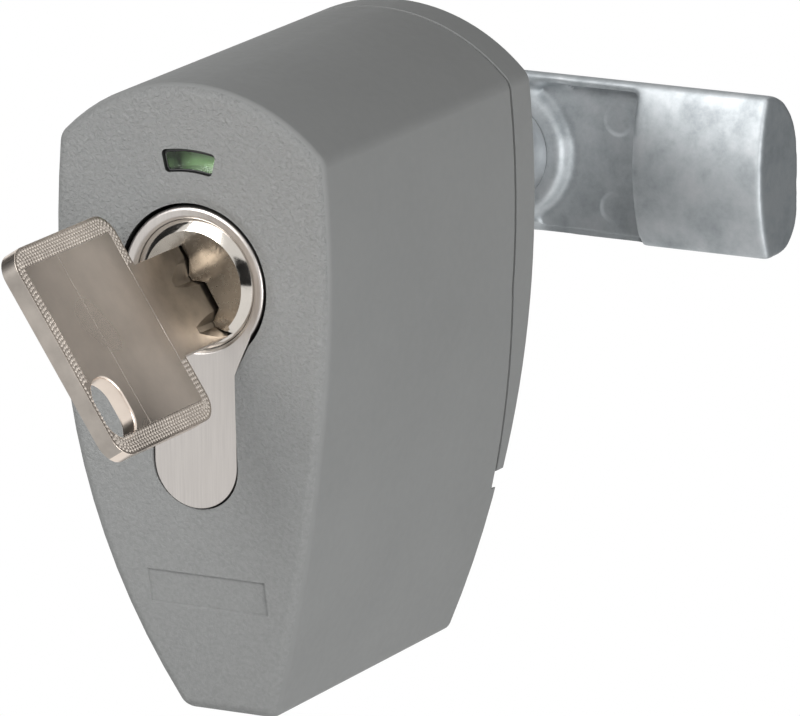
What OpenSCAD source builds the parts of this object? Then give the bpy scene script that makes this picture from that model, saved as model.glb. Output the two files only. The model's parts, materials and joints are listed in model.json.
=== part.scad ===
// Rotary handle lock with a profile half cylinder, a window and a cast latch tongue.
// Origin on the turning axis at the door's outer face, +Y into the door, +Z up, millimetres.

/* [Handle outline] */
// Half width of the handle at its widest
half_w = 16.65; // [16.2:0.05:18]
// Radius of the sides seen from the front
side_r = 126; // [115:1:160]
// Height at which the handle is widest
side_z = 2.5; // [1:0.5:6]
// Radius of the top about the turning axis
top_r = 21.9; // [21.5:0.1:23]
// Rounding of the two upper corners
corner_r = 2.3; // [2:0.1:3]
// Lower end of the handle below the axis
nose_z = 49; // [46:0.1:52]
// Rounding of the two lower corners
nose_r = 1.6; // [1.4:0.1:2.4]

/* [Handle depth] */
// Room between the lock cylinder and the door
behind = 11.45; // [11.2:0.05:13]
// Height below the axis at which the front starts to curve back
face_bend_z = 10; // [8:0.5:14]
// Radius of the curved lower front
face_bend_r = 115; // [105:1:160]
// Rounding around the front face
edge_r = 1.3; // [0.8:0.1:1.3]
// Side wall thickness
wall = 2.2; // [1.8:0.1:2.4]
// Front wall thickness
front_wall = 3; // [2.7:0.1:3.1]
// Gap between the handle and the base rim
rim_gap = 0.4; // [0.3:0.05:0.7]
// Gap between the handle's skirt and the door
skirt_gap = 0.7; // [0.5:0.1:1.2]
// Width of the sunk field on the lower front
recess_w = 14.3; // [10:0.1:16]
// Height of the sunk field
recess_h = 4; // [3:0.1:6]
// Depth of the sunk field
recess_d = 0.3; // [0.15:0.05:0.6]
// Middle of the sunk field below the axis
recess_z = 34.3; // [32:0.1:38]

/* [Base] */
// Base plate thickness
base_t = 4.2; // [4:0.1:4.6]
// Depth below the axis at which the rim starts to thin
taper_z = 8; // [8:0.5:10]
// Slope of the thinning rim
taper = 0.125; // [0.09:0.005:0.13]
// Radius of the base's round lower end about the axis
base_end_r = 32.2; // [31:0.1:32.6]
// Inner radius of the handle's skirt about the axis
skirt_r = 33.9; // [33.4:0.1:35]
// Radius of the collar that goes through the door
collar_r = 10; // [9.5:0.1:10.5]
// Length of the collar
collar_l = 10; // [8:0.1:10]
// Tapped hole radius of the door screws
screw_hole_r = 2.1; // [1.6:0.05:2.2]
// Upper door screw below the top of the base
screw_edge = 5.7; // [5.3:0.1:6]
// Distance between the door screws
screw_pitch = 38; // [36:0.5:39]
// Thickness of the door gasket
gasket_t = 1; // [0.6:0.1:1]

/* [Lock cylinder] */
// Radius of the round part
cyl_r = 8.5; // [8.3:0.05:8.5]
// Width of the stem
stem_w = 10; // [9.6:0.1:10]
// Height of the whole profile
cyl_h = 33; // [32:0.1:33]
// Length of the half cylinder
cyl_l = 35; // [31.5:0.5:38.5]
// Cylinder face behind the front face of the handle
cyl_set = 0.55; // [0.3:0.05:0.8]
// Gap between the handle and the round part of the cylinder
hole_gap = 0.4; // [0.2:0.05:0.6]
// Radius of the plug
plug_r = 6; // [5.8:0.05:6]
// Radius of the plug's front collar
plug_face_r = 7.05; // [6.8:0.05:7.2]
// Outer radius of the shallow dish in the handle around the cylinder
dish_r = 10.3; // [9.6:0.1:11]
// Running clearance of turning pieces, on the radius
run = 0.05; // [0.03:0.01:0.08]

/* [Key] */
// Turn of the key from upright at rest
key_turn = 33; // [30:1:36]
// Bow height
bow_h = 24.5; // [22:0.1:26]
// Bow centre below the axis
bow_low = 1.5; // [1:0.05:1.6]
// Bow length
bow_l = 20.3; // [18:0.1:22]
// Bow thickness
bow_t = 2.7; // [2.6:0.1:3.2]
// Bow corner rounding
bow_r = 2.6; // [2:0.1:3.4]
// Neck length between the bow and the cylinder
neck_l = 9.2; // [8:0.1:13]
// Neck reach below the axis
neck_low = 6.6; // [6.4:0.1:7.4]
// Blade height
blade_h = 8.6; // [8.4:0.1:8.8]
// Ring hole width along the key
ring_w = 5.3; // [4.6:0.1:5.6]
// Ring hole height
ring_h = 7; // [6.4:0.1:7.4]

/* [Window and indicator] */
// Inner radius of the window
win_in = 12.4; // [12.2:0.05:12.6]
// Outer radius of the window
win_out = 14.9; // [14.6:0.05:14.95]
// Half angle of the window
win_a = 12.8; // [10:0.2:13]
// Corner rounding of the window
win_r = 0.5; // [0.3:0.05:0.8]
// Thickness of the lens
lens_t = 2.4; // [2:0.1:2.6]

/* [Tongue] */
// Tongue reach from the axis
tongue_l = 33.4; // [28:0.1:40]
// Tongue height
tongue_h = 18.5; // [17:0.1:19.4]
// Hub face distance behind the door face
tongue_y = 23.4; // [20:0.1:28]
// Rear face distance behind the hub face
tongue_d = 7.8; // [7.4:0.1:9]
// Hub radius
hub_r = 9.1; // [8.4:0.1:9.4]
// Rounding of the hub's front edge
hub_edge = 1.2; // [0.6:0.1:1.6]
// Start of the raised end pad
pad_x = 17.3; // [16:0.1:20]
// Crown radius of the end pad
pad_r = 22; // [20:0.5:26]
// Rise of the end pad's middle above the hub face
pad_up = 1.9; // [1:0.1:2.4]
// Rounding of the rear corners
rear_r = 7.6; // [6:0.1:7.6]
// Radius of the flat rear seat of the washer
seat_r = 6.6; // [6:0.1:7]
// Spindle radius
spindle_r = 6; // [5.8:0.05:6]
// Square drive across the flats
square = 8; // [7:0.1:8]

/* [Locking slide] */
// Crank radius of the tail driver
crank = 3.54; // [3.4:0.02:3.6]
// Crank pin radius
pin_r = 1.5; // [1.3:0.05:1.5]
// Play of the crank pin in its slot
slot_play = 0.25; // [0.22:0.01:0.32]
// Half width of the locking finger
finger_w = 3; // [2.6:0.1:3]
// Outer end of the finger at rest, from the axis
finger_out = 13.3; // [13.1:0.05:13.3]

/* [Hidden] */
face_y = behind + cyl_l + cyl_set;
cyl_y = -face_y + cyl_set;
cyl_end = cyl_y + cyl_l;
stem_end = cyl_h - cyl_r;
stem_z = stem_end - stem_w / 2;
cam_0 = cyl_end - 15;
cam_1 = cyl_end - 5;
screw_top_z = top_r - screw_edge;
house_rear = -base_t - rim_gap;
in_front = -face_y + front_wall;
slide_0 = cyl_end + 0.2;
slide_1 = slide_0 + 2;
plate_0 = slide_1 + 0.2;
plate_1 = plate_0 + 2.6;
flange_end = -base_t - 0.4;
finger_in = finger_out - 2.4;
slide_up = 3.25;
slide_down = 1.9;
track_in = finger_in - slide_up - 0.25;
track_out = finger_out + 0.2;
pocket_out = finger_out + slide_down + 0.15;
track_floor = -1.5;
lock_disc_r = 15.7;
side_x = half_w - side_r;
post_top = (top_r - 5.24) * [cos(49.1), sin(49.1)];
post_low = [8, -22.9];
post_y = in_front + 5;
pin_pitch = 3.4;
pin_y0 = cyl_y + 4.8;
pin_n = max(3, floor((cam_0 - cyl_y - 6.4) / pin_pitch + 0.01) + 1);
flag_y = in_front + 0.2;
flag_out = 14.85;
flag_in = 9.3;
arm_in = 11.05;
tongue_end = tongue_y + tongue_d;
lens_y = in_front - 0.1;
screw_y = cam_0 + 5;
screw_z = -17.5;
$fn = 96;

// Extrudes a front view shape (X, Z) from y0 to y1
module along(y0, y1) {
    translate([0, y1, 0])
        rotate([90, 0, 0])
            linear_extrude(y1 - y0)
                children();
}

// Extrudes a side view shape (Y, Z) from x0 to x1
module across(x0, x1) {
    translate([x0, 0, 0])
        rotate([90, 0, 90])
            linear_extrude(x1 - x0)
                children();
}

// Turns a profile of radius and depth about the lock axis
module lathe() {
    rotate([-90, 0, 0])
        rotate_extrude()
            children();
}

// Bar along the lock axis
module rod(r, y0, y1) {
    along(y0, y1)
        circle(r);
}

// Turns a piece with the key, left handed seen from behind
module keyed() {
    rotate([0, -key_turn, 0])
        children();
}

// Centre of the rounding between the top and a side
function corner_c() =
    let (a = top_r - corner_r)
    let (b = side_r - corner_r)
    let (d = norm([side_x, side_z]))
    let (u = [side_x, side_z] / d)
    let (m = (a * a - b * b + d * d) / (2 * d))
    let (h = sqrt(a * a - m * m))
    [u[0] * m + u[1] * h, u[1] * m - u[0] * h];

// Centre of the rounding between a side and the lower end
function nose_c() =
    let (z = -nose_z + nose_r)
    let (b = side_r - nose_r)
    [side_x + sqrt(b * b - (z - side_z) * (z - side_z)), z];

// Upper corner left over outside its rounding
module corner_waste(d) {
    c = corner_c();
    n1 = c / norm(c);
    n2 = [c[0] - side_x, c[1] - side_z] / norm([c[0] - side_x, c[1] - side_z]);
    difference() {
        polygon([c, c + 7 * n2, c + 7 * (n1 + n2), c + 7 * n1]);
        translate(c)
            circle(corner_r - d, $fn = 48);
    }
}

// Front view of the handle, set in by d
module outline(d = 0) {
    difference() {
        intersection() {
            translate([side_x, side_z])
                circle(side_r - d, $fn = 360);
            translate([-side_x, side_z])
                circle(side_r - d, $fn = 360);
            union() {
                circle(top_r - d);
                translate([-25, -60])
                    square([50, 60]);
            }
            translate([-25, -nose_z + d])
                square([50, 90]);
        }
        if (d < corner_r - 0.05) {
            corner_waste(d);
            mirror([1, 0])
                corner_waste(d);
        }
    }
}

// Profile of the lock cylinder, grown by c
module profile(c = 0) {
    circle(cyl_r + c);
    translate([-stem_w / 2 - c, -stem_z])
        square([stem_w + 2 * c, stem_z]);
    translate([0, -stem_z])
        circle(stem_w / 2 + c);
    polygon([[-stem_w / 2 - c, -9.2], [stem_w / 2 + c, -9.2], [6.85 + c, -5], [-6.85 - c, -5]]);
}

// Ring sector seen from the front, from angle a0 to a1 counted leftwards from the top
module sector(r0, r1, a0, a1) {
    n = 8;
    intersection() {
        difference() {
            circle(r1);
            circle(r0);
        }
        polygon(concat([[0, 0]],
            [for (i = [0:n]) let (a = a0 + (a1 - a0) * i / n) 2 * r1 * [-sin(a), cos(a)]]));
    }
}

// Corner of the window left over outside its rounding, outer for k 1 and inner for k -1
module window_waste(c, k) {
    a = win_a - 4.2 * c;
    q = win_r - c;
    r = k > 0 ? win_out - win_r : win_in + win_r;
    f = a - asin(q / r);
    e = r * [sin(f), cos(f)];
    n1 = k * [sin(f), cos(f)];
    n2 = [cos(a), -sin(a)];
    difference() {
        polygon([e, e + 2 * q * n2, e + 2 * q * (n1 + n2), e + 2 * q * n1]);
        translate(e)
            circle(q, $fn = 48);
    }
}

// Window seen from the front, set in by c
module window(c = 0) {
    a = win_a - 4.2 * c;
    difference() {
        sector(win_in + c, win_out - c, -a, a);
        for (s = [0, 1])
            mirror([s, 0]) {
                window_waste(c, 1);
                window_waste(c, -1);
            }
    }
}

// Recession of the front face at height z
function bend(z) =
    z > -face_bend_z ? 0 : face_bend_r - sqrt(face_bend_r * face_bend_r - (z + face_bend_z) * (z + face_bend_z));

// Right half of the outline as points with outward normals, from the top centre to the lower end
function half_outline() =
    let (c = corner_c())
    let (e = nose_c())
    let (a1 = atan2(c[1], c[0]))
    let (a2 = atan2(c[1] - side_z, c[0] - side_x))
    let (a3 = atan2(e[1] - side_z, e[0] - side_x))
    concat(
        [for (i = [0:10]) let (a = 90 + (a1 - 90) * i / 10) [top_r * cos(a), top_r * sin(a), cos(a), sin(a)]],
        [for (i = [1:6]) let (a = a1 + (a2 - a1) * i / 6)
            [c[0] + corner_r * cos(a), c[1] + corner_r * sin(a), cos(a), sin(a)]],
        [for (i = [1:16]) let (a = a2 + (a3 - a2) * i / 16)
            [side_x + side_r * cos(a), side_z + side_r * sin(a), cos(a), sin(a)]],
        [for (i = [1:5]) let (a = a3 + (-90 - a3) * i / 5)
            [e[0] + nose_r * cos(a), e[1] + nose_r * sin(a), cos(a), sin(a)]]);

// Outer form of the handle with its rounded front edge
module handle_form() {
    h = half_outline();
    n = len(h) - 1;
    loop = concat(h, [for (i = [n:-1:1]) [-h[i][0], h[i][1], -h[i][2], h[i][3]]]);
    m = len(loop);
    t = [0, 20, 40, 60, 78, 90];
    k = len(t);
    rear = [for (p = loop) [p[0], -skirt_gap, p[1]]];
    rings = [for (a = t) for (p = loop)
        let (in = edge_r * (1 - cos(a)))
        let (z = p[1] - p[3] * in)
        [p[0] - p[2] * in, -face_y + bend(z) + edge_r * (1 - sin(a)), z]];
    pts = concat(rear, rings);
    round_a = [for (s = [0:k - 1]) for (i = [0:m - 1]) let (j = (i + 1) % m)
        [s * m + i, s * m + m + i, s * m + m + j]];
    round_b = [for (s = [0:k - 1]) for (i = [0:m - 1]) let (j = (i + 1) % m)
        [s * m + i, s * m + m + j, s * m + j]];
    cap0 = k * m;
    cap_a = [for (i = [0:n - 1]) [cap0 + i, cap0 + m - i - 1, cap0 + i + 1]];
    cap_b = [for (i = [1:n - 1]) [cap0 + i, cap0 + m - i, cap0 + m - i - 1]];
    rear_a = [for (i = [0:n - 1]) [i, i + 1, m - i - 1]];
    rear_b = [for (i = [1:n - 1]) [i, m - i - 1, m - i]];
    polyhedron(pts, concat(rear_a, rear_b, round_a, round_b, cap_a, cap_b), convexity = 4);
}

// Space that the base plate needs under the handle
module rear_space() {
    intersection() {
        rod(skirt_r, house_rear - 0.2, 1);
        across(-30, 30)
            polygon([[house_rear, 40], [1, 40], [1, -40],
                [house_rear + taper * (40 - taper_z), -40], [house_rear, -taper_z]]);
    }
}

// Flat relief on the left side and on the inner rib, so that the turned handle passes over the base
module turn_space() {
    along(house_rear + 0.02, 1) {
        intersection() {
            circle(top_r + 0.5);
            translate([-40, -40])
                square([40, 60]);
        }
        intersection() {
            outline(wall);
            translate([-25, -30])
                square([50, 5]);
        }
    }
}

// Hollow of the handle, with its screw posts and stem ribs left standing
module hollow() {
    difference() {
        union() {
            along(in_front, 2)
                intersection() {
                    outline(wall);
                    translate([-25, -27])
                        square([50, 60]);
                }
            along(in_front, plate_0 - 5)
                circle(15.15);
        }
        for (s = [-1, 1]) {
            translate([s * post_top[0], 0, post_top[1]])
                along(post_y, plate_0)
                    union() {
                        circle(2.2);
                        rotate(s > 0 ? 40 : 140)
                            translate([0, -1])
                                square([7, 2]);
                    }
            translate([s * post_low[0], 0, post_low[1]])
                along(in_front - 1, plate_0)
                    union() {
                        circle(2.2);
                        translate([s * 4 - 4, -1])
                            square([8, 2]);
                    }
            along(screw_y - 3.6, screw_y + 3.6)
                translate([s * 10.25 - 5, screw_z - 2.9])
                    square([10, 6.4]);
        }
    }
}

module handle_housing() {
    color([0.55, 0.57, 0.57])
        difference() {
            handle_form();
            hollow();
            rear_space();
            turn_space();
            along(-face_y + 10, 2)
                intersection() {
                    outline(wall);
                    translate([-25, -60])
                        square([50, 31]);
                }
            along(-face_y - 1, in_front + 1)
                union() {
                    profile(0.2);
                    circle(cyl_r + hole_gap);
                }
            lathe()
                polygon([[cyl_r - 1, -face_y - 0.5], [dish_r + 1.2, -face_y - 0.5], [dish_r, -face_y],
                    [cyl_r + hole_gap, -face_y + cyl_set], [cyl_r - 1, -face_y + cyl_set]]);
            along(-face_y - 1, in_front + 1)
                window();
            translate([0, -face_y + bend(-recess_z) + recess_d, -recess_z])
                rotate([asin((recess_z - face_bend_z) / face_bend_r), 0, 0])
                    translate([-recess_w / 2, -5, -recess_h / 2])
                        cube([recess_w, 5, recess_h]);
            screw_places()
                rod(1.25, plate_0 - 9, plate_0 + 1);
            translate([-30, screw_y, screw_z])
                rotate([0, 90, 0])
                    cylinder(r = 2.55, h = 41);
            translate([-15.4, screw_y, screw_z])
                rotate([0, 90, 0])
                    cylinder(r1 = 5.5, r2 = 2.55, h = 2.95);
        }
}

module base_plate() {
    color([0.5, 0.52, 0.52])
        difference() {
            union() {
                intersection() {
                    along(-base_t, 0)
                        intersection() {
                            outline();
                            circle(base_end_r);
                        }
                    across(-30, 30)
                        polygon([[-base_t, 40], [0, 40], [0, -40],
                            [-base_t + taper * (33 - taper_z), -33], [-base_t, -taper_z]]);
                }
                rod(lock_disc_r, -base_t, 0);
                rod(collar_r, -0.5, collar_l);
                for (z = [screw_top_z, screw_top_z - screw_pitch])
                    translate([0, 0, z])
                        rod(4.2, -0.5, 3);
            }
            rod(7.62, -1.1, collar_l + 1);
            rod(6.5, -base_t - 1, 1);
            along(-base_t - 1, track_floor)
                track();
            for (z = [screw_top_z, screw_top_z - screw_pitch])
                translate([0, 0, z])
                    rod(screw_hole_r, -1.2, 4);
            along(-gasket_t, 1)
                seal_shape(0);
        }
}

// Gasket seen from the front, grown by c
module seal_shape(c) {
    intersection() {
        difference() {
            outline(2.2 - c);
            outline(4.2 + c);
            translate([0, screw_top_z])
                circle(4.6 - c);
        }
        translate([-30, -27.4])
            square([60, 60]);
    }
}

// Path of the locking finger in the base: a quarter ring with a pocket at each end
module track() {
    g = finger_w + 0.15;
    intersection() {
        difference() {
            circle(track_out);
            circle(track_in);
        }
        translate([-30, -30])
            square([30, 30]);
    }
    intersection() {
        translate([-g, -pocket_out])
            square([2 * g, pocket_out - track_in + 0.6]);
        difference() {
            circle(20);
            circle(track_in);
        }
    }
    intersection() {
        translate([-pocket_out, -g])
            square([pocket_out - track_in + 0.6, 2 * g]);
        difference() {
            circle(20);
            circle(track_in);
        }
    }
}

module spindle_bush() {
    color([0.7, 0.55, 0.3])
        difference() {
            rod(7.6, -1.1, collar_l);
            rod(spindle_r + run, -3, collar_l + 1);
        }
}

module door_gasket() {
    color([0.06, 0.06, 0.06])
        along(-gasket_t, 0)
            seal_shape(-0.03);
}

module window_lens() {
    color([0.85, 0.95, 0.9, 0.5])
        along(lens_y - lens_t, lens_y)
            window(0.06);
}

// The four chassis screw places
module screw_places() {
    for (s = [-1, 1]) {
        translate([s * post_top[0], 0, post_top[1]])
            children();
        translate([s * post_low[0], 0, post_low[1]])
            children();
    }
}

module chassis_plate() {
    color([0.62, 0.63, 0.64])
        difference() {
            union() {
                along(plate_0, plate_1)
                    intersection() {
                        outline(wall + 0.1);
                        translate([-25, -26.8])
                            square([50, 60]);
                    }
                for (s = [-1, 1])
                    along(slide_0, plate_0 + 0.5)
                        translate([s * 9.1 - 1, -14])
                            square([2, 20]);
            }
            along(plate_0 - 1, plate_1 + 1)
                square(9.1, center = true);
            along(plate_0 - 1, plate_1 + 1)
                translate([-finger_w - 0.15, -pocket_out - 0.1])
                    square([2 * finger_w + 0.3, pocket_out - track_in + 0.3]);
            screw_places()
                rod(1.4, plate_0 - 1, plate_1 + 1);
            screw_places()
                lathe()
                    polygon([[0, plate_1 - 1.2], [1.4, plate_1 - 1.2], [2.6, plate_1], [2.6, plate_1 + 1],
                        [0, plate_1 + 1]]);
        }
}

module chassis_screws() {
    color([0.7, 0.71, 0.73])
        screw_places()
            difference() {
                lathe()
                    polygon([[0, plate_1 - 11], [1.2, plate_1 - 11], [1.2, plate_1 - 1.3], [2.5, plate_1],
                        [0, plate_1]]);
                along(plate_1 - 0.8, plate_1 + 1)
                    square([0.6, 3], center = true);
                along(plate_1 - 0.8, plate_1 + 1)
                    square([3, 0.6], center = true);
            }
}

module spindle() {
    color([0.66, 0.67, 0.69])
        difference() {
            union() {
                along(plate_0, plate_1 + 0.1)
                    square(9, center = true);
                rod(6.9, plate_1, flange_end);
                rod(spindle_r, flange_end - 0.1, tongue_y - 0.05);
                along(tongue_y - 0.3, tongue_end - 0.4)
                    square(square, center = true);
            }
            rod(2.55, tongue_end - 15, tongue_end + 1);
            difference() {
                rod(9, collar_l + 0.65, collar_l + 1.75);
                rod(spindle_r - 0.6, collar_l, collar_l + 3);
            }
        }
}

module thrust_washer() {
    color([0.72, 0.72, 0.7])
        difference() {
            rod(9.6, collar_l + 0.05, collar_l + 0.65);
            rod(spindle_r + run, collar_l - 1, collar_l + 2);
        }
}

module retaining_ring() {
    color([0.3, 0.3, 0.32])
        along(collar_l + 0.7, collar_l + 1.7)
            difference() {
                circle(spindle_r + 2.2);
                circle(spindle_r - 0.55);
                translate([-2.2, -12])
                    square([4.4, 12]);
            }
}

// Cross section of the tongue seen from its end
module tongue_section() {
    h = tongue_h / 2;
    r = rear_r;
    intersection() {
        translate([tongue_y - pad_up + pad_r, 0])
            circle(pad_r);
        union() {
            translate([tongue_y - 3, -h])
                square([tongue_d + 3 - r, 2 * h]);
            translate([tongue_y, -h + r])
                square([tongue_d, 2 * h - 2 * r]);
            for (s = [-1, 1])
                translate([tongue_end - r, s * (h - r)])
                    circle(r);
        }
    }
}

// Half section of the hub with a rounded front edge
module hub_section() {
    translate([0, tongue_y])
        square([hub_r - hub_edge, tongue_d]);
    translate([0, tongue_y + hub_edge])
        square([hub_r, tongue_d - hub_edge]);
    translate([hub_r - hub_edge, tongue_y + hub_edge])
        circle(hub_edge);
}

module latch_tongue() {
    h = tongue_h / 2;
    web = tongue_y + 2;
    lip = tongue_y;
    color([0.58, 0.58, 0.57])
        difference() {
            union() {
                intersection() {
                    lathe()
                        hub_section();
                    across(-hub_r - 1, hub_r + 1)
                        tongue_section();
                }
                rod(seat_r, tongue_y + 3, tongue_end);
                intersection() {
                    across(0, pad_x + 0.5)
                        tongue_section();
                    along(web, tongue_end)
                        translate([0, -h])
                            square([pad_x + 0.5, 2 * h]);
                }
                intersection() {
                    across(0, pad_x + 0.5)
                        tongue_section();
                    along(lip, tongue_end)
                        for (z = [h - 1.1, -h])
                            translate([0, z])
                                square([pad_x + 0.5, z > 0 ? 1.1 : 0.7]);
                }
                across(pad_x, tongue_l)
                    tongue_section();
            }
            along(tongue_y - 1, tongue_end + 1)
                square(square + 0.1, center = true);
            translate([13.9, 0, 4.3])
                rod(1.85, web - 0.2, web + 0.12);
            translate([13.3, 0, -5.7])
                rod(1.85, web - 0.2, web + 0.12);
        }
}

module tongue_screw() {
    color([0.72, 0.73, 0.75])
        union() {
            rod(2.5, tongue_end - 13, tongue_end + 2);
            along(tongue_end + 1.4, tongue_end + 5.4)
                circle(5.77, $fn = 6);
        }
}

module tongue_washer() {
    color([0.68, 0.69, 0.71])
        difference() {
            rod(seat_r - 0.2, tongue_end, tongue_end + 1.4);
            rod(2.6, tongue_end - 1, tongue_end + 2);
        }
}

// The pin places along the stem
module pin_places() {
    for (i = [0:pin_n - 1])
        translate([0, pin_y0 + i * pin_pitch, 0])
            children();
}

module cylinder_body() {
    color([0.74, 0.72, 0.69])
        difference() {
            along(cyl_y, cyl_end)
                profile();
            lathe()
                polygon([[0, cyl_y - 1], [plug_face_r + 1.05, cyl_y - 1], [plug_face_r + run, cyl_y + 0.55],
                    [plug_face_r + run, cyl_y + 3], [plug_r + run, cyl_y + 3], [plug_r + run, cyl_end + 1],
                    [0, cyl_end + 1]]);
            translate([-12, cam_0, -8.9])
                cube([24, 10, 30]);
            pin_places()
                translate([0, 0, -40])
                    cylinder(r = 1.5, h = 38);
            translate([-20, screw_y, screw_z])
                rotate([0, 90, 0])
                    cylinder(r = 2.55, h = 40);
        }
}

module cylinder_screw() {
    color([0.7, 0.71, 0.73])
        difference() {
            translate([0, screw_y, screw_z])
                rotate([0, 90, 0])
                    rotate_extrude()
                        polygon([[0, -14.1], [4.15, -14.1], [2.5, -12.45], [2.5, 10.5], [0, 10.5]]);
            translate([-15, screw_y, screw_z])
                rotate([0, 90, 0])
                    cylinder(r = 1.75, h = 3, $fn = 6);
        }
}

module driver_pins() {
    color([0.8, 0.68, 0.35])
        pin_places()
            translate([0, 0, -10.6])
                cylinder(r = 1.45, h = 4.5);
}

module pin_springs() {
    n = 9;
    p = (stem_end - 12.26) / n;
    color([0.75, 0.76, 0.78])
        pin_places()
            translate([0, 0, -stem_end + 1.6])
                rotate_extrude()
                    polygon(concat([[0.75, 0]],
                        [for (i = [0:n - 1]) each [[1, i * p], [1.4, (i + 0.5) * p]]],
                        [[1, n * p], [0.75, n * p]]));
}

module chamber_plugs() {
    color([0.78, 0.66, 0.34])
        pin_places()
            translate([0, 0, -stem_end + 0.2])
                cylinder(r = 1.48, h = 1.3);
}

// Cross section of the key blade with its milled grooves, grown by c
module blade_shape(c = 0) {
    h = blade_h / 2;
    right = [[0.95, 2.6], [-0.1, 1.1], [-0.1, 0.5], [1.25, -0.4], [1.25, -3.5], [-0.2, -4.4], [-0.2, -5]];
    left = [[-1.3, -5.4], [-1.3, -3.9], [-0.2, -2.8], [-0.2, -1.6], [-1.25, -0.7]];
    polygon(concat([[0.95 + c, h - 0.1 + c]], [for (p = right) [p[0] + c, p[1]]],
        [[1.1 + c, -6.4 - c], [-0.4 - c, -6.4 - c]], [for (p = left) [p[0] - c, p[1]]],
        [[-1.25 - c, h - 0.1 + c]]));
}

// Disc of the cutter that mills a blade groove and runs out in the neck
module groove_cutter(n, t) {
    r = 11.5;
    d = bow_t / 2 - n;
    translate([n + r, cyl_y + 0.6, 0])
        rotate_extrude()
            polygon([[0, t[0]], [r - d, t[0]], [r, t[1]], [r, t[2]], [r - d, t[3]], [0, t[3]]]);
}

// Cut of the blade at pin number i
function cut_z(i) =
    -blade_h / 2 + 0.4 + 0.4 * i;

module cylinder_plug() {
    color([0.66, 0.62, 0.55])
        keyed()
            difference() {
                lathe()
                    polygon([[0, cyl_y + 0.35], [4.6, cyl_y + 0.1], [plug_r - 0.1, cyl_y - 0.1],
                        [plug_face_r, cyl_y + 0.6], [plug_face_r, cyl_y + 2.9], [plug_r, cyl_y + 2.9],
                        [plug_r, cam_1], [0, cam_1]]);
                along(cyl_y - 2, cyl_y + 2.7)
                    blade_shape(0.12);
                along(cyl_y - 2, cam_0 + 3)
                    intersection() {
                        blade_shape(0.12);
                        translate([-5, -blade_h / 2 - 0.12])
                            square([10, 20]);
                    }
                pin_places()
                    translate([0, 0, -9])
                        cylinder(r = 1.45, h = 9);
                rod(1.05, cam_1 - 6, cam_1 + 1);
            }
}

module key_pins() {
    color([0.8, 0.68, 0.35])
        keyed()
            for (i = [0:pin_n - 1])
                translate([0, pin_y0 + i * pin_pitch, -plug_r + 0.25])
                    cylinder(r = 1.4, h = cut_z(i) - 0.1 + plug_r - 0.25);
}

module cam_ring() {
    color([0.6, 0.61, 0.63])
        difference() {
            union() {
                rod(8.3, cam_0 + 0.2, cam_1 - 0.2);
                along(cam_0 + 0.8, cam_1 - 0.8)
                    intersection() {
                        translate([-2.5, 6])
                            square([5, 6]);
                        circle(arm_in - 0.05);
                    }
            }
            rod(plug_r + 0.03, cam_0 - 1, cam_1 + 1);
        }
}

module tail_driver() {
    a = key_turn - 45;
    color([0.62, 0.63, 0.65])
        difference() {
            union() {
                rod(plug_r, cam_1, cyl_end - 0.2);
                translate([crank * cos(a), 0, crank * sin(a)])
                    rod(pin_r, cam_1 + 2, slide_1 - 0.2);
            }
            rod(1.05, cam_1 - 1, cyl_end + 1);
            rod(1.95, cyl_end - 1.8, cyl_end - 0.1);
        }
}

module driver_screw() {
    color([0.7, 0.71, 0.73])
        difference() {
            union() {
                rod(1, cam_1 - 5, cyl_end - 1.7);
                rod(1.9, cyl_end - 1.8, cyl_end - 0.3);
            }
            along(cyl_end - 0.9, cyl_end)
                square([0.5, 5], center = true);
        }
}

module indicator_carrier() {
    color([0.12, 0.12, 0.12])
        union() {
            along(flag_y + 0.8, flag_y + 2.2)
                sector(flag_in, flag_out, -75, 52);
            along(flag_y + 1.5, cam_1 - 0.4)
                sector(arm_in, 13.2, -12, 12);
        }
}

module green_field() {
    color([0.05, 0.55, 0.2])
        along(flag_y, flag_y + 0.8)
            sector(flag_in, flag_out, -20, 52);
}

module red_field() {
    color([0.75, 0.08, 0.06])
        along(flag_y, flag_y + 0.8)
            sector(flag_in, flag_out, -75, -20.2);
}

module locking_slide() {
    a = key_turn - 45;
    zs = crank * sin(a) + 0.05;
    color([0.6, 0.61, 0.63])
        difference() {
            union() {
                along(slide_0, slide_1)
                    translate([-7.95, -finger_out + 0.6])
                        square([15.9, finger_out + 5]);
                along(slide_0, track_floor - 0.4)
                    intersection() {
                        translate([-finger_w, -finger_out - 1])
                            square([2 * finger_w, finger_out + 1 - finger_in]);
                        circle(finger_out);
                    }
            }
            along(slide_0 - 1, slide_1 + 1)
                translate([0, zs]) {
                    translate([2.4, 0])
                        circle(pin_r + slot_play);
                    translate([3.6, 0])
                        circle(pin_r + slot_play);
                    translate([2.4, -pin_r - slot_play])
                        square([1.2, 2 * pin_r + 2 * slot_play]);
                }
        }
}

module key() {
    y1 = cyl_y - 0.35 - neck_l;
    y0 = y1 - bow_l;
    tip = cam_0 + 2;
    color([0.66, 0.62, 0.55])
        keyed()
            union() {
                difference() {
                    across(-bow_t / 2, bow_t / 2)
                        difference() {
                            union() {
                                bow_shape(y0, y1);
                                translate([y1 - 1, -neck_low])
                                    square([neck_l + 1, neck_low + blade_h / 2 + 0.05]);
                            }
                            ring_hole(y0 + 3.35, -bow_low - bow_h / 2 + 5.3);
                        }
                    groove_cutter(-0.1, [3.1, 1.1, 0.5, -0.43]);
                    groove_cutter(-0.2, [-3.47, -4.4, -5, -6.6]);
                }
                intersection() {
                    along(cyl_y - 1.5, tip)
                        blade_shape();
                    across(-5, 5)
                        blade_side(y1, tip);
                }
            }
}

// Oval ring hole
module ring_hole(y, z) {
    d = (ring_h - ring_w) / 2;
    translate([y, z - d])
        circle(ring_w / 2);
    translate([y, z + d])
        circle(ring_w / 2);
    translate([y - ring_w / 2, z - d])
        square([ring_w, 2 * d]);
}

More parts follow.
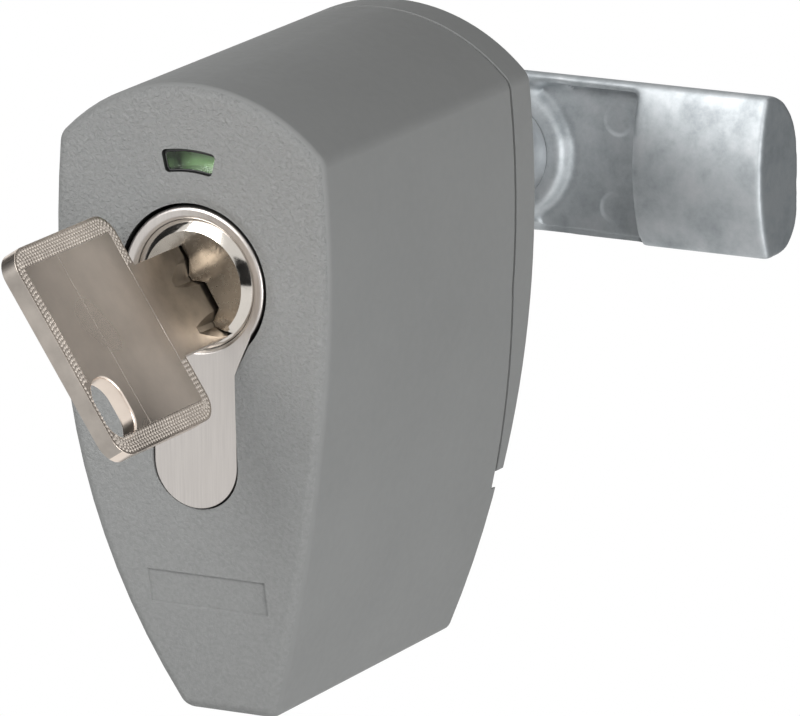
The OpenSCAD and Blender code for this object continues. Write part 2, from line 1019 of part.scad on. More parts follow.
// Side view of the bow with rounded corners
module bow_shape(y0, y1) {
    h = bow_h / 2;
    translate([0, -bow_low]) {
        translate([y0 + bow_r, -h])
            square([bow_l - 2 * bow_r, 2 * h]);
        translate([y0, -h + bow_r])
            square([bow_l, 2 * h - 2 * bow_r]);
        for (s = [-1, 1]) {
            translate([y0 + bow_r, s * (h - bow_r)])
                circle(bow_r);
            translate([y1 - bow_r, s * (h - bow_r)])
                circle(bow_r);
        }
    }
}

// Side view of the blade with its stepped cuts, deeper towards the tip
module blade_side(y0, tip) {
    h = blade_h / 2;
    steps = [for (i = [pin_n - 1:-1:0])
        let (y = pin_y0 + i * pin_pitch - pin_pitch / 2)
        each [[y, cut_z(i)], [y, i > 0 ? cut_z(i - 1) : -h]]];
    polygon(concat([[y0, -8], [y0, h + 1], [tip - 3, h + 1], [tip - 2, h - 0.12], [tip + 1, h - 3],
        [tip + 1, 0.5], [tip - 1.6, cut_z(pin_n - 1)]], steps, [[cyl_y + 2.5, -h], [cyl_y + 2.5, -8]]));
}

base_plate();
spindle_bush();
door_gasket();
handle_housing();
window_lens();
chassis_plate();
chassis_screws();
spindle();
thrust_washer();
retaining_ring();
latch_tongue();
tongue_screw();
tongue_washer();
cylinder_body();
cylinder_screw();
driver_pins();
pin_springs();
chamber_plugs();
cylinder_plug();
key_pins();
cam_ring();
tail_driver();
driver_screw();
indicator_carrier();
green_field();
red_field();
locking_slide();
key();
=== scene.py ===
# %% [markdown]
# A rotary handle lock is dressed here: a grey die-cast handle with a lock cylinder, a key, a small window
# and a zinc latch tongue behind the door. The solids, their places and their joints come from the packed
# frame, so this lesson only adds finishes, softened edges and the small details that solids leave out.

# %% Load the frame
import json
import math

import bmesh
import bpy
import numpy as np
from mathutils import Matrix, Vector


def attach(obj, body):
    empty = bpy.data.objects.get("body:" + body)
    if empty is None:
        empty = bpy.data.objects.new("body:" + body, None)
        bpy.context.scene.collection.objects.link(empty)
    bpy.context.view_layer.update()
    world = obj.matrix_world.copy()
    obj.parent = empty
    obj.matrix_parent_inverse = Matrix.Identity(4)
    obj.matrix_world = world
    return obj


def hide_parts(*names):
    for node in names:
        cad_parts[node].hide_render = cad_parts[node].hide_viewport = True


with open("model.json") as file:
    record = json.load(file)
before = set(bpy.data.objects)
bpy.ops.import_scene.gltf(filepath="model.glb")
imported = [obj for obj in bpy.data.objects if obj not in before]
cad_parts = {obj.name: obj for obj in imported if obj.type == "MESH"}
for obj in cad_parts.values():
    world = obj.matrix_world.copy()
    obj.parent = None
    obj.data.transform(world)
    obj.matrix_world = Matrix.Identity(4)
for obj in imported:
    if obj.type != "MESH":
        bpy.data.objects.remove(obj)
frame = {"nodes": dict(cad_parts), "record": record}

MM = 0.001
scene = bpy.context.scene
nodes = frame["nodes"]
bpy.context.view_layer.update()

# %% [markdown]
# The camera comes first. Its place was found from the lock cylinder, whose profile has one standard size,
# and from the straight edges of the handle. A long lens far away keeps those edges nearly parallel, as
# they are in the picture. The three angles turn the camera, and the offsets place the turning axis in the
# frame.

# %% Camera
YAW, PITCH, ROLL = (math.radians(a) for a in (28.432, 14.301, 0.643))
SIDE_MM, DOWN_MM, AWAY_MM = 1.712, -18.834, 1101.967
FIT_SHIFT_MM = 3.5

view = Vector((-math.sin(YAW) * math.cos(PITCH), math.cos(YAW) * math.cos(PITCH), -math.sin(PITCH)))
level = Vector((math.cos(YAW), math.sin(YAW), 0))
below = view.cross(level)
right = math.cos(ROLL) * level + math.sin(ROLL) * below
down = math.cos(ROLL) * below - math.sin(ROLL) * level
eye = -(SIDE_MM * right + DOWN_MM * down + AWAY_MM * view) + Vector((0, FIT_SHIFT_MM, 0))

camera_data = bpy.data.cameras.new("camera")
camera_data.lens = 450
camera_data.sensor_width = 36
camera_data.sensor_fit = "HORIZONTAL"
camera_data.clip_start = 0.05
camera_data.clip_end = 50
camera = bpy.data.objects.new("camera", camera_data)
scene.collection.objects.link(camera)
turn = Matrix((right, -down, -view)).transposed().to_4x4()
camera.matrix_world = Matrix.Translation(eye * MM) @ turn
scene.camera = camera
print("camera at", [round(c * MM, 4) for c in eye])

# %% [markdown]
# Every finish is a small node tree. This helper keeps them short: it adds a node, sets its sockets and
# joins it up, so that each material below reads like a recipe. Patterns use Object coordinates, which are
# metres here, so a grain of a third of a millimetre has a noise scale of about three thousand.

# %% Material helper
class Finish:
    """A material whose nodes are added one by one."""

    def __init__(self, name, **sockets):
        self.mat = bpy.data.materials.new(name)
        self.mat.use_nodes = True
        self.tree = self.mat.node_tree
        self.shader = self.tree.nodes["Principled BSDF"]
        for key, value in sockets.items():
            self.shader.inputs[key.replace("_", " ")].default_value = value
        self.place = self.add("ShaderNodeTexCoord").outputs["Object"]

    def add(self, kind, props=None, **sockets):
        node = self.tree.nodes.new(kind)
        for key, value in (props or {}).items():
            setattr(node, key, value)
        for key, value in sockets.items():
            self.put(node.inputs[key.replace("_", " ")], value)
        return node

    def put(self, socket, value):
        if isinstance(value, bpy.types.NodeSocket):
            self.tree.links.new(value, socket)
        else:
            socket.default_value = value

    def stretched(self, scale):
        return self.add("ShaderNodeMapping", Vector=self.place, Scale=scale).outputs[0]

    def noise(self, scale, detail=3.0, rough=0.5, place=None, distortion=0.0):
        node = self.add("ShaderNodeTexNoise", Vector=place or self.place, Scale=scale, Detail=detail,
                        Roughness=rough, Distortion=distortion)
        return node.outputs["Fac"]

    def axis(self, letter):
        return self.add("ShaderNodeSeparateXYZ", Vector=self.place).outputs[letter]

    def ramp(self, fac, stops):
        node = self.add("ShaderNodeValToRGB", Fac=fac)
        band = node.color_ramp
        for _ in range(len(stops) - 2):
            band.elements.new(0.5)
        for element, (at, colour) in zip(band.elements, stops):
            element.position = at
            element.color = (*colour, 1)
        return node.outputs["Color"]

    def span(self, fac, low, high, from_low=0.3, from_high=0.7):
        node = self.add("ShaderNodeMapRange", Value=fac)
        for i, value in enumerate((from_low, from_high, low, high)):
            node.inputs[i + 1].default_value = value
        return node.outputs[0]

    def bump(self, height, strength, depth_mm, under=None):
        node = self.add("ShaderNodeBump", Strength=strength, Distance=depth_mm * MM, Height=height)
        if under:
            self.put(node.inputs["Normal"], under)
        return node.outputs[0]

    def wire(self, **sockets):
        for key, value in sockets.items():
            self.put(self.shader.inputs[key.replace("_", " ")], value)
        return self.mat


def dressed(colour, amount=0.08):
    """A darker and a lighter shade of a colour, as two ramp stops."""
    low = tuple(c * (1 - amount) for c in colour)
    high = tuple(min(1, c * (1 + amount)) for c in colour)
    return [(0.3, low), (0.7, high)]


print("material helper ready")

# %% [markdown]
# The handle has a grey coat. Its front is grained like fine leather, cast into the tool, while its sides
# are smooth with only a trace of orange peel. Two materials share the colour, the grained one painted a
# trace lighter against the shade of its grain, and differ in their bump.
# The grain is deepest on the upper part of the front and fades towards the nose, where hands have rubbed
# it.

# %% Grey coats
COAT = (0.236, 0.240, 0.237)


def grey_coat(name, grain):
    f = Finish(name, Specular_IOR_Level=0.25)
    cloud = f.noise(60, 4)
    fine = f.noise(900, 2)
    colour = f.ramp(cloud, dressed(COAT, 0.03))
    normal = f.bump(f.noise(420, 2), 0.10, 0.02)
    if grain:
        height = f.axis("Z")
        depth = f.span(height, 0.20, 1.0, -0.040, 0.004)
        pits = f.noise(2300, 4, 0.62, distortion=0.4)
        normal = f.bump(pits, depth, 0.36, normal)
        # painted light: the grained coat's colour is lifted by 2.5 percent against the shade of its own bump
        colour = f.ramp(pits, dressed([1.025 * c for c in COAT], 0.09))
    return f.wire(Base_Color=colour, Roughness=f.span(fine, 0.60, 0.70), Normal=normal)


coat_grained = grey_coat("coat_grained", True)
coat_smooth = grey_coat("coat_smooth", False)
print("coats:", coat_grained.name, coat_smooth.name)

# %% [markdown]
# The lock cylinder is nickel plated brass. Its face was brushed up and down, so the scratches are a noise
# that is stretched along Z. The plug and the key are warmer and more polished, with faint marks in all
# directions. The key is worn warmer towards its neck, where it has been handled and rubbed by the lock,
# and its outer edge is duller than its sides.

# %% Nickel finishes
def nickel(name, colour, rough, stretch, marks, worn=None, scratch=0.06):
    f = Finish(name, Metallic=1.0)
    lines = f.noise(1.0, 3, 0.6, f.stretched(stretch))
    stains = f.noise(260, 4, 0.6)
    tone = f.ramp(lines if scratch > 0.1 else stains, dressed(colour, marks))
    if worn:
        along = f.span(f.axis("Y"), 0.0, 1.0, -0.060, -0.053)
        mix = f.add("ShaderNodeMix", {"data_type": "RGBA"})
        f.put(mix.inputs[0], along)
        f.put(mix.inputs[6], tone)
        f.put(mix.inputs[7], f.ramp(stains, dressed(worn, 0.22)))
        tone = mix.outputs[2]
    if not scratch:
        return f.wire(Base_Color=tone, Roughness=f.span(f.noise(110, 0), rough - 0.03, rough + 0.04))
    return f.wire(Base_Color=tone, Roughness=f.span(lines, rough - 0.05, rough + 0.07),
                  Normal=f.bump(lines, scratch, 0.01))


nickel_face = nickel("nickel_brushed", (0.52, 0.49, 0.465), 0.36, (8500, 8500, 150), 0.06, scratch=0.25)
nickel_plug = nickel("nickel_plug", (0.35, 0.32, 0.28), 0.24, (1500, 1500, 1500), 0.14)
nickel_key = nickel("nickel_key", (0.77, 0.67, 0.585), 0.30, (260, 90, 260), 0.06, (0.41, 0.355, 0.295), 0)
nickel_edge = nickel("nickel_edge", (0.375, 0.34, 0.305), 0.34, (400, 400, 60), 0.16, scratch=0)
nickel_bright = nickel("nickel_bright", (0.62, 0.58, 0.53), 0.10, (900, 900, 900), 0.06, scratch=0.02)
nickel_dots = nickel("nickel_knurl", (0.40, 0.36, 0.32), 0.26, (900, 900, 900), 0.08)
print("nickel finishes ready")

# %% [markdown]
# The tongue is a bare zinc casting. Zinc dulls in patches, so its tone and its roughness follow two
# noises of different size, and a faint bump keeps the reflections from being straight. An attribute of
# the mesh holds painted shade: it darkens the inner corners, the foot of the hub and the cut end.

# %% Cast zinc
def cast_zinc():
    f = Finish("cast_zinc", Metallic=1.0)
    patches = f.noise(230, 6, 0.68, distortion=0.1)
    specks = f.noise(1600, 4, 0.65)
    tone = f.ramp(patches, [(0.33, (0.35, 0.375, 0.39)), (0.50, (0.45, 0.475, 0.49)),
                            (0.68, (0.53, 0.55, 0.565))])
    # painted shade: the attribute blends the zinc's tone towards near black
    painted_shade = f.add("ShaderNodeAttribute", {"attribute_name": "painted_shade"}).outputs["Fac"]
    mix = f.add("ShaderNodeMix", {"data_type": "RGBA"})
    f.put(mix.inputs[0], painted_shade)
    f.put(mix.inputs[6], tone)
    f.put(mix.inputs[7], f.ramp(patches, dressed((0.10, 0.115, 0.125), 0.2)))
    normal = f.bump(patches, 0.05, 0.05)
    normal = f.bump(specks, 0.22, 0.02, normal)
    return f.wire(Base_Color=mix.outputs[2], Roughness=f.span(patches, 0.66, 0.56), Normal=normal)


zinc = cast_zinc()
print("casting finish", zinc.name)

# %% [markdown]
# Pieces inside or behind the door still need a real finish, because the handle and the door side are seen
# from the back: plated steel, bronze, dark plastic, rubber, and the two plastic fields of the indicator.

# %% Small finishes
def simple(name, colour, rough, scale, amount=0.08, bump=0.08, **sockets):
    f = Finish(name, **sockets)
    grain = f.noise(scale, 4, 0.55)
    normal = f.bump(grain, bump, 0.02)
    return f.wire(Base_Color=f.ramp(grain, dressed(colour, amount)),
                  Roughness=f.span(grain, rough - 0.05, rough + 0.06), Normal=normal)


steel = simple("plated_steel", (0.60, 0.61, 0.62), 0.32, 700, Metallic=1.0)
bronze = simple("bronze", (0.62, 0.46, 0.24), 0.34, 600, Metallic=1.0)
# dark plastic for the black pieces; the same finish is painted shade on the housing's window and dish walls
# and on the window's dark band
dark_plastic_and_painted_shade = simple("dark_plastic_and_painted_shade", (0.016, 0.017, 0.016), 0.5, 800)
# painted shade: a near-black finish that stands for the shade in the joint around the plug
joint_shade = simple("joint_shade", (0.022, 0.020, 0.018), 0.55, 900, 0.2)
rubber = simple("rubber", (0.02, 0.02, 0.021), 0.75, 1200, 0.15, 0.2)
green = simple("green_field", (0.40, 0.60, 0.32), 0.45, 500, 0.10)
red = simple("red_field", (0.52, 0.02, 0.015), 0.45, 500, 0.10)
print("small finishes ready")

# %% [markdown]
# The window is clear plastic. A Transparent shader lets the light of the studio reach the green field
# behind it, and a little Glossy by Fresnel gives the gleam. A faint noise in the roughness keeps it from
# being perfect.

# %% Clear lens
def clear_lens():
    f = Finish("clear_lens")
    tree = f.tree
    clear = f.add("ShaderNodeBsdfTransparent", Color=(0.93, 0.97, 0.92, 1))
    gleam = f.add("ShaderNodeBsdfGlossy", Roughness=f.span(f.noise(500, 2), 0.04, 0.10))
    fresnel = f.add("ShaderNodeFresnel", IOR=1.45)
    mix = f.add("ShaderNodeMixShader", Fac=fresnel.outputs[0])
    tree.links.new(clear.outputs[0], mix.inputs[1])
    tree.links.new(gleam.outputs[0], mix.inputs[2])
    tree.links.new(mix.outputs[0], tree.nodes["Material Output"].inputs["Surface"])
    tree.nodes.remove(f.shader)
    return f.mat


def lens_walls():
    """The side walls of the clear block mirror the field behind it, whichever colour that shows."""
    f = Finish("lens_walls", Metallic=1.0)
    haze = f.noise(900, 3)
    return f.wire(Base_Color=f.ramp(haze, dressed((0.50, 0.52, 0.50), 0.15)),
                  Roughness=f.span(haze, 0.10, 0.22))


lens_clear = clear_lens()
lens_side = lens_walls()
print("lens finishes", lens_clear.name, lens_side.name)

# %% [markdown]
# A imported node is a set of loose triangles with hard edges. For a visible piece, a copy is welded, its
# flat faces are joined into single polygons, and chosen edges get a narrow bevel, because no cast or
# plated edge is razor sharp. The edges are bevelled in groups, since Blender narrows a whole bevel to fit
# its tightest place. Edges that stay sharp are marked, and weighted normals keep large flat faces flat.

# %% Softened copies
def welded(node):
    """A copy of a node's mesh with its loose triangles joined."""
    bm = bmesh.new()
    bm.from_mesh(nodes[node].data)
    bmesh.ops.remove_doubles(bm, verts=bm.verts, dist=1e-6)
    bmesh.ops.dissolve_limit(bm, angle_limit=math.radians(0.4), verts=bm.verts, edges=bm.edges)
    return bm


def sharp_edges(bm, angle=32):
    limit = math.radians(angle)
    return [e for e in bm.edges if len(e.link_faces) == 2 and e.calc_face_angle(0) > limit]


def softened(node, material, groups, angle=32, shape=None):
    """groups: (test of an edge's middle in mm and the edge, bevel width in mm, segments)"""
    bm = welded(node)
    if shape:
        for vert in bm.verts:
            vert.co = shape(vert.co)
        bm.normal_update()
    for test, width, segments in groups:
        edges = [e for e in sharp_edges(bm, angle)
                 if test((e.verts[0].co + e.verts[1].co) / (2 * MM), e)]
        if edges:
            bmesh.ops.bevel(bm, geom=edges, offset=width * MM, offset_type="OFFSET", segments=segments,
                            profile=0.5, affect="EDGES", clamp_overlap=True)
    for edge in sharp_edges(bm, angle):
        edge.smooth = False
    piece = piece_of(bm, node + "_fine", material)
    weight = piece.modifiers.new("normals", "WEIGHTED_NORMAL")
    weight.weight = 80
    weight.keep_sharp = True
    return standing_for(made_plain(piece), node)


def piece_of(bm, name, material):
    mesh = bpy.data.meshes.new(name)
    for face in bm.faces:
        face.smooth = True
    bm.to_mesh(mesh)
    bm.free()
    mesh.materials.append(material)
    piece = bpy.data.objects.new(name, mesh)
    scene.collection.objects.link(piece)
    return piece


def made_plain(piece):
    """Puts the result of a piece's modifiers into its mesh."""
    graph = bpy.context.evaluated_depsgraph_get()
    mesh = bpy.data.meshes.new_from_object(piece.evaluated_get(graph), depsgraph=graph)
    piece.modifiers.clear()
    piece.data = mesh
    return piece


def standing_for(piece, node):
    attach(piece, body_of(node))
    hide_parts(node)
    print(piece.name, "faces", len(piece.data.polygons))
    return piece


def body_of(node):
    for body, members in frame["record"]["behaviour"]["bodies"].items():
        if node in members:
            return body


def anywhere(middle, edge):
    return True


print("helpers for softened copies ready")


# %% [markdown]
# The handle housing is the largest piece. Its rear rim, the dish around the cylinder and the sunk field
# on the nose have different edges, so each is a group. The faces that look to the front then get the
# grained coat and all others the smooth one. The walls of the window opening and of the dish around the
# cylinder get the black finish as painted shade.

# %% Handle housing
def by_the_rim(m, e):
    return m.y > -7 and abs(m.x) + abs(m.z) > 14


def by_the_dish(m, e):
    return m.y < -45.5 and math.hypot(m.x, m.z) < 11.5


def by_the_field(m, e):
    return m.y < -40 and -38 < m.z < -31 and abs(m.x) < 8


housing = softened("handle_housing", coat_smooth,
                   [(by_the_rim, 0.50, 3), (by_the_dish, 0.15, 2), (by_the_field, 0.12, 2)])
housing.data.materials.append(coat_grained)
housing.data.materials.append(dark_plastic_and_painted_shade)
for polygon in housing.data.polygons:
    c = polygon.center / MM
    if polygon.normal.y < -0.55 and c.y < -39:
        polygon.material_index = 1
    # painted shade: the walls of the window opening and of the dish around the cylinder get the black finish
    if abs(c.x) < 3.6 and 12 < c.z < 15.2 and -46.8 < c.y < -43 and abs(polygon.normal.y) < 0.4:
        polygon.material_index = 2
    if math.hypot(c.x, c.z) < 9.4 and c.y < -40 and abs(polygon.normal.y) < 0.9:
        polygon.material_index = 2
print("grained faces", sum(p.material_index == 1 for p in housing.data.polygons))

# %% [markdown]
# The base plate and the metal pieces keep their solids' shapes and only get softer edges. The rim of the
# base is rounded enough to catch the light beside the dark gap. The cylinder's edges are narrow, as
# turned and plated brass has them. The plug's bevel is polished, and the joint around it is painted
# near black as painted shade.

# %% Base plate, cylinder and fittings
PLUG_RIM_R = 6.92


def on_the_rim_of_the_base(m, e):
    return math.hypot(m.x, m.z) > 14.5 and m.y < 0.1


def around_the_head(m, e):
    return m.y < -44 and 8.3 < math.hypot(m.x, m.z) < 8.6


def elsewhere_in_front(m, e):
    return m.y < -44 and not around_the_head(m, e)


def around_the_plug(m, e):
    return m.y < -45 and math.hypot(m.x, m.z) > 5.5


softened("base_plate", coat_smooth, [(on_the_rim_of_the_base, 0.45, 3)])
softened("cylinder_body", nickel_face, [(around_the_head, 0.42, 3), (elsewhere_in_front, 0.12, 2)])
plug = softened("cylinder_plug", nickel_plug, [(around_the_plug, 0.08, 2)])
plug.data.materials.append(nickel_bright)
plug.data.materials.append(joint_shade)
# painted shade: the plug's outer walls in the joint get the near-black finish, its bevel the polished nickel
for polygon in plug.data.polygons:
    c = polygon.center / MM
    r, steep = math.hypot(c.x, c.z), abs(polygon.normal.y)
    if r > 5.0 and c.y < -42 and steep < 0.96:
        polygon.material_index = 2 if r > PLUG_RIM_R and steep < 0.8 else 1
FITTINGS = {"tongue_screw": 0.4, "tongue_washer": 0.2, "spindle": 0.15, "retaining_ring": 0.12,
            "thrust_washer": 0.1, "spindle_bush": 0.15, "cylinder_screw": 0.12}
for node, width in FITTINGS.items():
    softened(node, bronze if node == "spindle_bush" else steel, [(anywhere, width, 2)])

# %% [markdown]
# The latch tongue is a casting: its outer edges are well rounded, because the mould wears and the part is
# tumbled, while its inner corners stay crisp. The solid is rebuilt from small voxels, and each point is
# then drawn towards its neighbours wherever the surface bulges, and hardly at all in a hollow. The hub is
# drawn in everywhere, so that its foot is soft. The low lip below the web is ground flush, as the picture
# shows no edge there, and the lower rear edge of the reach is fuller. Two faint round marks are left by
# the mould's ejector pins.

# %% Cast latch tongue
VOXEL_MM = 0.24
WEB_Y, PAD_X, HUB_R, HALF_H = 25.4, 17.3, 9.1, 9.25
REAR_Y, REAR_R, REAR_R_CAST = 31.2, 7.6, 4.4
HUB_ROUNDS, ROUNDS = 30, 16
HUB_SLIMMED, HUB_END_R, HUB_FOOT_R = 1.0, 10.6, 8.7
EJECTOR_MARKS = ((13.9, 4.3), (13.3, -5.7))


def square_corner(place):
    """Fills the lower rear edge of the reach out to a smaller rounding, within the same box."""
    x, y, z = (place / MM).T
    dy, dz = y - (REAR_Y - REAR_R), -z - (HALF_H - REAR_R)
    turn_to = np.arctan2(np.maximum(dz, 0), np.maximum(dy, 0))
    grown = REAR_R - REAR_R_CAST
    c, s = np.cos(turn_to), np.sin(turn_to)
    flat = REAR_R / np.maximum(np.maximum(c, s), 1e-6)
    round_end = grown * (c + s) + np.sqrt(np.maximum(REAR_R_CAST ** 2 - grown ** 2 * (c - s) ** 2, 0))
    reach = np.where(np.minimum(c, s) * flat > grown, round_end, flat) / REAR_R
    share = np.interp(x, [10, 14], [0, 1]) * (dy > 0) * (dz > 0)
    place[:, 1] += np.minimum(share * (reach - 1) * dy, np.maximum(REAR_Y - y, 0)) * MM
    place[:, 2] -= np.minimum(share * (reach - 1) * dz, np.maximum(HALF_H + z, 0)) * MM


def flush_and_slim(place):
    """Grinds the lower lip flush with the web and draws the hub's wall in."""
    x, y, z = (place / MM).T
    r = np.hypot(x, z)
    lip = (x < PAD_X - 0.1) & (z < 0.8 - HALF_H) & (r > HUB_R + 0.2) & (y < WEB_Y)
    place[lip, 1] = WEB_Y * MM
    inner = np.interp(r, [0, HUB_R, HUB_END_R], [0, HUB_R - HUB_SLIMMED, HUB_END_R]) / np.maximum(r, 0.01)
    slim = np.interp(abs(z), [7.6, 8.8], [1, 0]) * (r < HUB_END_R) * (y < WEB_Y + 0.1) * (x > -2)
    place[:, [0, 2]] *= (1 + slim * (inner - 1))[:, None]


def mark_web(place):
    """Leaves a faint round mark for each ejector pin."""
    x, y, z = (place / MM).T
    for mark_x, mark_z in EJECTOR_MARKS:
        away = np.hypot(x - mark_x, z - mark_z)
        rise = np.interp(away, [1.5, 1.8, 2.1], [0.05, -0.03, 0])
        place[:, 1] += np.where(abs(y - WEB_Y) < 0.3, rise, 0) * MM


def bulges_rounded(mesh):
    count = len(mesh.vertices)
    place = np.empty(count * 3)
    mesh.vertices.foreach_get("co", place)
    place = place.reshape(-1, 3)
    x, y, z = (place / MM).T
    r = np.hypot(x, z)
    front = y < WEB_Y + 0.4
    hub = (r > 5.6) & (r < 11.5) & (x > 1) & front & (abs(z) < 8.4)
    flush_and_slim(place)
    square_corner(place)
    under_hub = (x > -3) & (x < 8) & front & (z < -8.2)
    ends = np.empty(len(mesh.edges) * 2, dtype=int)
    mesh.edges.foreach_get("vertices", ends)
    a, b = ends.reshape(-1, 2).T
    near = np.bincount(a, minlength=count) + np.bincount(b, minlength=count)
    for turn_no in range(HUB_ROUNDS + ROUNDS):
        mesh.vertices.foreach_set("co", place.ravel())
        mesh.update()
        normal = np.array([v.vector for v in mesh.vertex_normals])
        total = np.zeros_like(place)
        np.add.at(total, a, place[b])
        np.add.at(total, b, place[a])
        step = total / near[:, None] - place
        bulge = np.einsum("ij,ij->i", step, normal) < 0
        share = np.where(bulge | hub, 0.5, 0.12) if turn_no >= HUB_ROUNDS else 0.5 * hub
        place += step * share[:, None]
        place[under_hub, 1] += 0.5 * step[under_hub, 1]
    x, y, z = (place / MM).T
    mark_web(place)
    mesh.vertices.foreach_set("co", place.ravel())
    mesh.update()
    # painted shade: darker in inner corners, at the foot of the hub and on the cut end
    hollow = np.einsum("ij,ij->i", step, normal) / (VOXEL_MM * MM)
    wide = np.maximum(hollow, 0)
    np.maximum.at(wide, a, hollow[b])
    np.maximum.at(wide, b, hollow[a])
    cut_end = (x > x.max() - 1.2) * np.clip(normal[:, 0] * 2 - 1, 0, 1) * 0.50
    foot = 0.45 * np.exp(-((np.hypot(x, z) - HUB_FOOT_R) / 0.45) ** 2) * hub
    shade_amount = np.maximum((wide - 0.04) * 6, np.maximum(cut_end, foot))
    painted_shade = mesh.attributes.new("painted_shade", "FLOAT", "POINT")
    painted_shade.data.foreach_set("value", np.clip(shade_amount, 0, 0.6).astype(np.float32))


tongue = piece_of(welded("latch_tongue"), "latch_tongue_cast", zinc)
remesh = tongue.modifiers.new("voxels", "REMESH")
remesh.mode = "VOXEL"
remesh.voxel_size = VOXEL_MM * MM
remesh.use_smooth_shade = True
made_plain(tongue)
bulges_rounded(tongue.data)
standing_for(tongue, "latch_tongue")

# %% [markdown]
# The key is stamped from flat stock. Only the outline of its bow and neck and the ring hole are rounded:
# those edges lie between a flat side and a wall that stands square to it. The blade and the milled
# grooves keep their crisp edges. The key stands turned in the lock, so its own upright frame is used for
# all places on it.

# %% Key
KEY_TURN = Matrix.Rotation(math.radians(-33), 4, "Y")
KEY_BACK = KEY_TURN.inverted()
BOW_Y = (-76.3, -56.0)
BOW_Z = (-13.75, 10.75)
THINNED = 0.72
BOW_HALF = 1.35 * THINNED
NECK_Z = (-6.6, 4.35)
HOLE = (-72.95, -8.45, 2.65, 3.5)


def on_outline(m, e):
    flat = sorted(abs((KEY_BACK.to_3x3() @ f.normal).x) for f in e.link_faces)
    return m.y < -47.6 and flat[0] < 0.05 and flat[1] > 0.95


def on_ring_hole(m, e):
    p = KEY_BACK @ m
    return on_outline(m, e) and abs(p.y - HOLE[0]) < HOLE[2] + 0.1 and abs(p.z - HOLE[1]) < HOLE[3] + 0.1


def on_bow(m, e):
    return on_outline(m, e) and not on_ring_hole(m, e)


def thinned(place):
    """The bow and neck are rolled thinner than the blade."""
    p = KEY_BACK @ place
    if p.y < -46.7 * MM:
        p.x *= THINNED
    return KEY_TURN @ p


key = softened("key", nickel_key, [(on_ring_hole, 0.45, 4), (on_bow, 0.28, 3)], 30, thinned)
key.data.materials.append(nickel_edge)
for polygon in key.data.polygons:
    if polygon.normal.y < -0.7 and polygon.center.y < (BOW_Y[0] + 3) * MM:
        polygon.material_index = 1

# %% [markdown]
# The bow has a knurled border: rows of tiny pyramids that follow its outline, each row half a step on
# from the last. Each row is a chain of edges drawn here in the key's own frame, and a Geometry Nodes tree
# turns it into a curve, spaces points along it and puts a pyramid on each. The inputs of the tree are its
# spacing and size.

# %% Node tree of the knurl
def node_group(name, inputs):
    """An empty geometry tree with named inputs, and a shorthand for adding nodes to it."""
    tree = bpy.data.node_groups.new(name, "GeometryNodeTree")
    tree.interface.new_socket("Geometry", in_out="INPUT", socket_type="NodeSocketGeometry")
    for label, kind in inputs:
        tree.interface.new_socket(label, in_out="INPUT", socket_type=kind)
    tree.interface.new_socket("Geometry", in_out="OUTPUT", socket_type="NodeSocketGeometry")
    source = tree.nodes.new("NodeGroupInput").outputs
    target = tree.nodes.new("NodeGroupOutput").inputs[0]

    def add(kind, props=None, **links):
        node = tree.nodes.new(kind)
        for key, value in (props or {}).items():
            setattr(node, key, value)
        for key, value in links.items():
            socket = node.inputs[key.replace("_", " ")]
            if isinstance(value, bpy.types.NodeSocket):
                tree.links.new(value, socket)
            else:
                socket.default_value = value
        return node.outputs[0]

    return tree, source, target, add


def knurl_tree():
    tree, source, target, add = node_group("knurl_rows", [
        ("Spacing", "NodeSocketFloat"), ("Radius", "NodeSocketFloat"), ("Height", "NodeSocketFloat"),
        ("Material", "NodeSocketMaterial")])
    rows = add("GeometryNodeMeshToCurve", Mesh=source["Geometry"])
    points = add("GeometryNodeResampleCurve", {"mode": "LENGTH"}, Curve=rows, Length=source["Spacing"])
    pyramid = add("GeometryNodeMeshCone", {"fill_type": "NONE"}, Vertices=4, Radius_Bottom=source["Radius"],
                  Depth=source["Height"])
    stood = add("GeometryNodeTransform", Geometry=pyramid, Rotation=(0, math.radians(90), 0))
    dots = add("GeometryNodeInstanceOnPoints", Points=points, Instance=stood)
    made = add("GeometryNodeRealizeInstances", Geometry=dots)
    done = add("GeometryNodeSetMaterial", Geometry=made, Material=source["Material"])
    tree.links.new(done, target)
    return tree


def line_tree():
    tree, source, target, add = node_group("raised_lines", [
        ("Radius", "NodeSocketFloat"), ("Material", "NodeSocketMaterial")])
    path = add("GeometryNodeMeshToCurve", Mesh=source["Geometry"])
    bead = add("GeometryNodeCurvePrimitiveCircle", {"mode": "RADIUS"}, Resolution=8, Radius=source["Radius"])
    body = add("GeometryNodeCurveToMesh", Curve=path, Profile_Curve=bead)
    made = add("GeometryNodeRealizeInstances", Geometry=body)
    done = add("GeometryNodeSetMaterial", Geometry=made, Material=source["Material"])
    tree.links.new(done, target)
    return tree


KNURL, LINES = knurl_tree(), line_tree()
print("trees", KNURL.name, LINES.name)

# %% [markdown]
# The rows run around the bow from one side of the neck to the other. The two long bands are five rows
# deep and the short ones three, and rows that would run into the ring hole are broken there. A fine
# raised line frames the panel and another crosses it.

# %% Rows and lines of the key's bow
def corner(y, z, r, a0):
    """A rounded corner as points, from angle a0 for a quarter turn."""
    return [(y + r * math.cos(math.radians(a0 + 15 * i)), z + r * math.sin(math.radians(a0 + 15 * i)))
            for i in range(7)]


